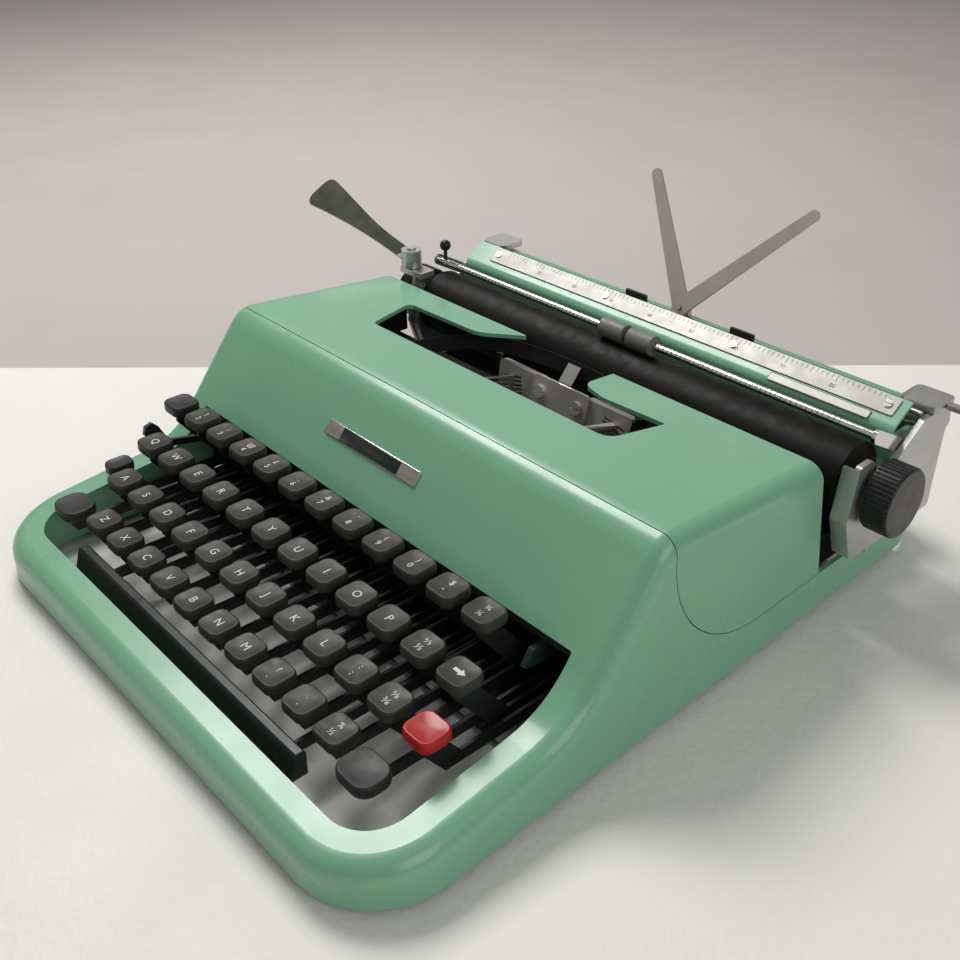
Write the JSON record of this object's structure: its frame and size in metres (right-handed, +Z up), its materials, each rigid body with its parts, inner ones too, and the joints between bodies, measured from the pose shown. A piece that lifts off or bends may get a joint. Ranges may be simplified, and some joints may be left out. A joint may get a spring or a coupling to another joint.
{
  "type": "portable manual typewriter",
  "caption": "Portable manual typewriter with a keyboard sloping up to a lift-off ribbon cover, a type basket in its window and a sliding carriage with platen, bail and return lever.",
  "frame": {"origin": "middle of the body's footprint, on the plane of the four feet", "axes": "+X to the typist's right, +Y to the rear, +Z up"},
  "size_m": [0.3667, 0.3261, 0.138],
  "materials": {
    "body_enamel": "satin gloss",
    "frame_steel": "oiled",
    "basket_steel": "satin",
    "key_plastic": "gloss",
    "tab_red": "gloss",
    "carriage_enamel": "satin",
    "table_enamel": "satin gloss",
    "platen_rubber": "matt",
    "bail_chrome": "polished",
    "lever_enamel": "satin gloss",
    "support_enamel": "satin"
  },
  "bodies": {
    "body": {"lower_housing": "body_enamel", "ribbon_cover": "body_enamel", "chassis_frame": "frame_steel"},
    "key_2": {"key_2": "key_plastic"},
    "key_3": {"key_3": "key_plastic"},
    "key_4": {"key_4": "key_plastic"},
    "key_5": {"key_5": "key_plastic"},
    "key_6": {"key_6": "key_plastic"},
    "key_7": {"key_7": "key_plastic"},
    "key_8": {"key_8": "key_plastic"},
    "key_9": {"key_9": "key_plastic"},
    "key_0": {"key_0": "key_plastic"},
    "key_hyphen": {"key_hyphen": "key_plastic"},
    "key_three_quarters": {"key_three_quarters": "key_plastic"},
    "key_q": {"key_q": "key_plastic"},
    "key_w": {"key_w": "key_plastic"},
    "key_e": {"key_e": "key_plastic"},
    "key_r": {"key_r": "key_plastic"},
    "key_t": {"key_t": "key_plastic"},
    "key_y": {"key_y": "key_plastic"},
    "key_u": {"key_u": "key_plastic"},
    "key_i": {"key_i": "key_plastic"},
    "key_o": {"key_o": "key_plastic"},
    "key_p": {"key_p": "key_plastic"},
    "key_one_third": {"key_one_third": "key_plastic"},
    "key_a": {"key_a": "key_plastic"},
    "key_s": {"key_s": "key_plastic"},
    "key_d": {"key_d": "key_plastic"},
    "key_f": {"key_f": "key_plastic"},
    "key_g": {"key_g": "key_plastic"},
    "key_h": {"key_h": "key_plastic"},
    "key_j": {"key_j": "key_plastic"},
    "key_k": {"key_k": "key_plastic"},
    "key_l": {"key_l": "key_plastic"},
    "key_semicolon": {"key_semicolon": "key_plastic"},
    "key_eighths": {"key_eighths": "key_plastic"},
    "key_z": {"key_z": "key_plastic"},
    "key_x": {"key_x": "key_plastic"},
    "key_c": {"key_c": "key_plastic"},
    "key_v": {"key_v": "key_plastic"},
    "key_b": {"key_b": "key_plastic"},
    "key_n": {"key_n": "key_plastic"},
    "key_m": {"key_m": "key_plastic"},
    "key_comma": {"key_comma": "key_plastic"},
    "key_period": {"key_period": "key_plastic"},
    "key_one_half": {"key_one_half": "key_plastic"},
    "tab_key": {"tab_key": "tab_red"},
    "backspace_key": {"backspace_key": "key_plastic"},
    "margin_release_key": {"margin_release_key": "key_plastic"},
    "shift_lock_key": {"shift_lock_key": "key_plastic"},
    "space_bar": {"space_bar": "key_plastic"},
    "shift_keys": {"shift_keys": "key_plastic"},
    "type_basket": {"type_basket": "basket_steel"},
    "carriage": {"carriage_frame": "carriage_enamel", "paper_table": "table_enamel"},
    "platen": {"platen": "platen_rubber"},
    "paper_bail": {"paper_bail": "bail_chrome"},
    "return_lever": {"return_lever": "lever_enamel"},
    "paper_support_left": {"paper_support_left": "support_enamel"},
    "paper_support_right": {"paper_support_right": "support_enamel"}
  },
  "joints": [
    {"name": "carriage_slide", "type": "slide", "parent": "body", "child": "carriage", "axis": [1, 0, 0], "range_m": [-0.115, 0.095]},
    {"name": "platen_turn", "type": "hinge", "parent": "carriage", "child": "platen", "pos_m": [0.0105, 0.0886, 0.059], "axis": [1, 0, 0], "continuous": true},
    {"name": "bail_lift", "type": "hinge", "parent": "carriage", "child": "paper_bail", "pos_m": [-0.1227, 0.112, 0.069], "axis": [1, 0, 0], "range_deg": [-40, 0]},
    {"name": "return_lever_swing", "type": "hinge", "parent": "carriage", "child": "return_lever", "pos_m": [-0.132, 0.079, 0.081], "axis": [0, 0, 1], "range_deg": [0, 35], "stiffness_Nm_per_rad": 0.2, "springref_deg": -17.19},
    {"name": "paper_support_left_fold", "type": "hinge", "parent": "carriage", "child": "paper_support_left", "pos_m": [0.0148, 0.1285, 0.08433], "axis": [0, -0.8387, 0.5446], "range_deg": [0, 50]},
    {"name": "paper_support_right_fold", "type": "hinge", "parent": "carriage", "child": "paper_support_right", "pos_m": [0.0148, 0.12724, 0.08514], "axis": [0, -0.8387, 0.5446], "range_deg": [-50, 0]},
    {"name": "shift_press", "type": "hinge", "parent": "body", "child": "shift_keys", "pos_m": [-0.10925, 0.04, 0.013], "axis": [1, 0, 0], "range_deg": [0, 4.5], "stiffness_Nm_per_rad": 1.6, "springref_deg": -14.32},
    {"name": "basket_shift", "type": "slide", "parent": "body", "child": "type_basket", "axis": [0, 0, 1], "range_m": [-0.006, 0]},
    {"name": "space_bar_press", "type": "hinge", "parent": "body", "child": "space_bar", "pos_m": [-0.06355, 0.04, 0.013], "axis": [1, 0, 0], "range_deg": [0, 2.6], "stiffness_Nm_per_rad": 1, "springref_deg": -11.46},
    {"name": "tab_key_press", "type": "hinge", "parent": "body", "child": "tab_key", "pos_m": [0.10925, 0.04, 0.013], "axis": [1, 0, 0], "range_deg": [0, 4.5], "stiffness_Nm_per_rad": 0.5, "springref_deg": -8.59},
    {"name": "backspace_key_press", "type": "hinge", "parent": "body", "child": "backspace_key", "pos_m": [0.1045, 0.04, 0.013], "axis": [1, 0, 0], "range_deg": [0, 4.5], "stiffness_Nm_per_rad": 0.5, "springref_deg": -8.59},
    {"name": "margin_release_key_press", "type": "hinge", "parent": "body", "child": "margin_release_key", "pos_m": [-0.114, 0.04, 0.013], "axis": [1, 0, 0], "range_deg": [0, 4.5], "stiffness_Nm_per_rad": 0.5, "springref_deg": -8.59},
    {"name": "shift_lock_key_press", "type": "hinge", "parent": "body", "child": "shift_lock_key", "pos_m": [-0.11875, 0.04, 0.013], "axis": [1, 0, 0], "range_deg": [0, 4.5], "stiffness_Nm_per_rad": 0.5, "springref_deg": -8.59},
    {"name": "key_2_press", "type": "hinge", "parent": "body", "child": "key_2", "pos_m": [-0.095, 0.04, 0.013], "axis": [1, 0, 0], "range_deg": [0, 4.5], "stiffness_Nm_per_rad": 0.5, "springref_deg": -8.59},
    {"name": "key_3_press", "type": "hinge", "parent": "body", "child": "key_3", "pos_m": [-0.076, 0.04, 0.013], "axis": [1, 0, 0], "range_deg": [0, 4.5], "stiffness_Nm_per_rad": 0.5, "springref_deg": -8.59},
    {"name": "key_4_press", "type": "hinge", "parent": "body", "child": "key_4", "pos_m": [-0.057, 0.04, 0.013], "axis": [1, 0, 0], "range_deg": [0, 4.5], "stiffness_Nm_per_rad": 0.5, "springref_deg": -8.59},
    {"name": "key_5_press", "type": "hinge", "parent": "body", "child": "key_5", "pos_m": [-0.038, 0.04, 0.013], "axis": [1, 0, 0], "range_deg": [0, 4.5], "stiffness_Nm_per_rad": 0.5, "springref_deg": -8.59},
    {"name": "key_6_press", "type": "hinge", "parent": "body", "child": "key_6", "pos_m": [-0.019, 0.04, 0.013], "axis": [1, 0, 0], "range_deg": [0, 4.5], "stiffness_Nm_per_rad": 0.5, "springref_deg": -8.59},
    {"name": "key_7_press", "type": "hinge", "parent": "body", "child": "key_7", "pos_m": [0, 0.04, 0.013], "axis": [1, 0, 0], "range_deg": [0, 4.5], "stiffness_Nm_per_rad": 0.5, "springref_deg": -8.59},
    {"name": "key_8_press", "type": "hinge", "parent": "body", "child": "key_8", "pos_m": [0.019, 0.04, 0.013], "axis": [1, 0, 0], "range_deg": [0, 4.5], "stiffness_Nm_per_rad": 0.5, "springref_deg": -8.59},
    {"name": "key_9_press", "type": "hinge", "parent": "body", "child": "key_9", "pos_m": [0.038, 0.04, 0.013], "axis": [1, 0, 0], "range_deg": [0, 4.5], "stiffness_Nm_per_rad": 0.5, "springref_deg": -8.59},
    {"name": "key_0_press", "type": "hinge", "parent": "body", "child": "key_0", "pos_m": [0.057, 0.04, 0.013], "axis": [1, 0, 0], "range_deg": [0, 4.5], "stiffness_Nm_per_rad": 0.5, "springref_deg": -8.59},
    {"name": "key_hyphen_press", "type": "hinge", "parent": "body", "child": "key_hyphen", "pos_m": [0.076, 0.04, 0.013], "axis": [1, 0, 0], "range_deg": [0, 4.5], "stiffness_Nm_per_rad": 0.5, "springref_deg": -8.59},
    {"name": "key_three_quarters_press", "type": "hinge", "parent": "body", "child": "key_three_quarters", "pos_m": [0.095, 0.04, 0.013], "axis": [1, 0, 0], "range_deg": [0, 4.5], "stiffness_Nm_per_rad": 0.5, "springref_deg": -8.59},
    {"name": "key_q_press", "type": "hinge", "parent": "body", "child": "key_q", "pos_m": [-0.1045, 0.04, 0.013], "axis": [1, 0, 0], "range_deg": [0, 4.5], "stiffness_Nm_per_rad": 0.5, "springref_deg": -8.59},
    {"name": "key_w_press", "type": "hinge", "parent": "body", "child": "key_w", "pos_m": [-0.0855, 0.04, 0.013], "axis": [1, 0, 0], "range_deg": [0, 4.5], "stiffness_Nm_per_rad": 0.5, "springref_deg": -8.59},
    {"name": "key_e_press", "type": "hinge", "parent": "body", "child": "key_e", "pos_m": [-0.0665, 0.04, 0.013], "axis": [1, 0, 0], "range_deg": [0, 4.5], "stiffness_Nm_per_rad": 0.5, "springref_deg": -8.59},
    {"name": "key_r_press", "type": "hinge", "parent": "body", "child": "key_r", "pos_m": [-0.0475, 0.04, 0.013], "axis": [1, 0, 0], "range_deg": [0, 4.5], "stiffness_Nm_per_rad": 0.5, "springref_deg": -8.59},
    {"name": "key_t_press", "type": "hinge", "parent": "body", "child": "key_t", "pos_m": [-0.0285, 0.04, 0.013], "axis": [1, 0, 0], "range_deg": [0, 4.5], "stiffness_Nm_per_rad": 0.5, "springref_deg": -8.59},
    {"name": "key_y_press", "type": "hinge", "parent": "body", "child": "key_y", "pos_m": [-0.0095, 0.04, 0.013], "axis": [1, 0, 0], "range_deg": [0, 4.5], "stiffness_Nm_per_rad": 0.5, "springref_deg": -8.59},
    {"name": "key_u_press", "type": "hinge", "parent": "body", "child": "key_u", "pos_m": [0.0095, 0.04, 0.013], "axis": [1, 0, 0], "range_deg": [0, 4.5], "stiffness_Nm_per_rad": 0.5, "springref_deg": -8.59},
    {"name": "key_i_press", "type": "hinge", "parent": "body", "child": "key_i", "pos_m": [0.0285, 0.04, 0.013], "axis": [1, 0, 0], "range_deg": [0, 4.5], "stiffness_Nm_per_rad": 0.5, "springref_deg": -8.59},
    {"name": "key_o_press", "type": "hinge", "parent": "body", "child": "key_o", "pos_m": [0.0475, 0.04, 0.013], "axis": [1, 0, 0], "range_deg": [0, 4.5], "stiffness_Nm_per_rad": 0.5, "springref_deg": -8.59},
    {"name": "key_p_press", "type": "hinge", "parent": "body", "child": "key_p", "pos_m": [0.0665, 0.04, 0.013], "axis": [1, 0, 0], "range_deg": [0, 4.5], "stiffness_Nm_per_rad": 0.5, "springref_deg": -8.59},
    {"name": "key_one_third_press", "type": "hinge", "parent": "body", "child": "key_one_third", "pos_m": [0.0855, 0.04, 0.013], "axis": [1, 0, 0], "range_deg": [0, 4.5], "stiffness_Nm_per_rad": 0.5, "springref_deg": -8.59},
    {"name": "key_a_press", "type": "hinge", "parent": "body", "child": "key_a", "pos_m": [-0.09975, 0.04, 0.013], "axis": [1, 0, 0], "range_deg": [0, 4.5], "stiffness_Nm_per_rad": 0.5, "springref_deg": -8.59},
    {"name": "key_s_press", "type": "hinge", "parent": "body", "child": "key_s", "pos_m": [-0.08075, 0.04, 0.013], "axis": [1, 0, 0], "range_deg": [0, 4.5], "stiffness_Nm_per_rad": 0.5, "springref_deg": -8.59},
    {"name": "key_d_press", "type": "hinge", "parent": "body", "child": "key_d", "pos_m": [-0.06175, 0.04, 0.013], "axis": [1, 0, 0], "range_deg": [0, 4.5], "stiffness_Nm_per_rad": 0.5, "springref_deg": -8.59},
    {"name": "key_f_press", "type": "hinge", "parent": "body", "child": "key_f", "pos_m": [-0.04275, 0.04, 0.013], "axis": [1, 0, 0], "range_deg": [0, 4.5], "stiffness_Nm_per_rad": 0.5, "springref_deg": -8.59},
    {"name": "key_g_press", "type": "hinge", "parent": "body", "child": "key_g", "pos_m": [-0.02375, 0.04, 0.013], "axis": [1, 0, 0], "range_deg": [0, 4.5], "stiffness_Nm_per_rad": 0.5, "springref_deg": -8.59},
    {"name": "key_h_press", "type": "hinge", "parent": "body", "child": "key_h", "pos_m": [-0.00475, 0.04, 0.013], "axis": [1, 0, 0], "range_deg": [0, 4.5], "stiffness_Nm_per_rad": 0.5, "springref_deg": -8.59},
    {"name": "key_j_press", "type": "hinge", "parent": "body", "child": "key_j", "pos_m": [0.01425, 0.04, 0.013], "axis": [1, 0, 0], "range_deg": [0, 4.5], "stiffness_Nm_per_rad": 0.5, "springref_deg": -8.59},
    {"name": "key_k_press", "type": "hinge", "parent": "body", "child": "key_k", "pos_m": [0.03325, 0.04, 0.013], "axis": [1, 0, 0], "range_deg": [0, 4.5], "stiffness_Nm_per_rad": 0.5, "springref_deg": -8.59},
    {"name": "key_l_press", "type": "hinge", "parent": "body", "child": "key_l", "pos_m": [0.05225, 0.04, 0.013], "axis": [1, 0, 0], "range_deg": [0, 4.5], "stiffness_Nm_per_rad": 0.5, "springref_deg": -8.59},
    {"name": "key_semicolon_press", "type": "hinge", "parent": "body", "child": "key_semicolon", "pos_m": [0.07125, 0.04, 0.013], "axis": [1, 0, 0], "range_deg": [0, 4.5], "stiffness_Nm_per_rad": 0.5, "springref_deg": -8.59},
    {"name": "key_eighths_press", "type": "hinge", "parent": "body", "child": "key_eighths", "pos_m": [0.09025, 0.04, 0.013], "axis": [1, 0, 0], "range_deg": [0, 4.5], "stiffness_Nm_per_rad": 0.5, "springref_deg": -8.59},
    {"name": "key_z_press", "type": "hinge", "parent": "body", "child": "key_z", "pos_m": [-0.09025, 0.04, 0.013], "axis": [1, 0, 0], "range_deg": [0, 4.5], "stiffness_Nm_per_rad": 0.5, "springref_deg": -8.59},
    {"name": "key_x_press", "type": "hinge", "parent": "body", "child": "key_x", "pos_m": [-0.07125, 0.04, 0.013], "axis": [1, 0, 0], "range_deg": [0, 4.5], "stiffness_Nm_per_rad": 0.5, "springref_deg": -8.59},
    {"name": "key_c_press", "type": "hinge", "parent": "body", "child": "key_c", "pos_m": [-0.05225, 0.04, 0.013], "axis": [1, 0, 0], "range_deg": [0, 4.5], "stiffness_Nm_per_rad": 0.5, "springref_deg": -8.59},
    {"name": "key_v_press", "type": "hinge", "parent": "body", "child": "key_v", "pos_m": [-0.03325, 0.04, 0.013], "axis": [1, 0, 0], "range_deg": [0, 4.5], "stiffness_Nm_per_rad": 0.5, "springref_deg": -8.59},
    {"name": "key_b_press", "type": "hinge", "parent": "body", "child": "key_b", "pos_m": [-0.01425, 0.04, 0.013], "axis": [1, 0, 0], "range_deg": [0, 4.5], "stiffness_Nm_per_rad": 0.5, "springref_deg": -8.59},
    {"name": "key_n_press", "type": "hinge", "parent": "body", "child": "key_n", "pos_m": [0.00475, 0.04, 0.013], "axis": [1, 0, 0], "range_deg": [0, 4.5], "stiffness_Nm_per_rad": 0.5, "springref_deg": -8.59},
    {"name": "key_m_press", "type": "hinge", "parent": "body", "child": "key_m", "pos_m": [0.02375, 0.04, 0.013], "axis": [1, 0, 0], "range_deg": [0, 4.5], "stiffness_Nm_per_rad": 0.5, "springref_deg": -8.59},
    {"name": "key_comma_press", "type": "hinge", "parent": "body", "child": "key_comma", "pos_m": [0.04275, 0.04, 0.013], "axis": [1, 0, 0], "range_deg": [0, 4.5], "stiffness_Nm_per_rad": 0.5, "springref_deg": -8.59},
    {"name": "key_period_press", "type": "hinge", "parent": "body", "child": "key_period", "pos_m": [0.06175, 0.04, 0.013], "axis": [1, 0, 0], "range_deg": [0, 4.5], "stiffness_Nm_per_rad": 0.5, "springref_deg": -8.59},
    {"name": "key_one_half_press", "type": "hinge", "parent": "body", "child": "key_one_half", "pos_m": [0.08075, 0.04, 0.013], "axis": [1, 0, 0], "range_deg": [0, 4.5], "stiffness_Nm_per_rad": 0.5, "springref_deg": -8.59}
  ],
  "couplings": [
    {"joint": "basket_shift", "follows": "shift_press", "m_per_rad": -0.0762}
  ]
}
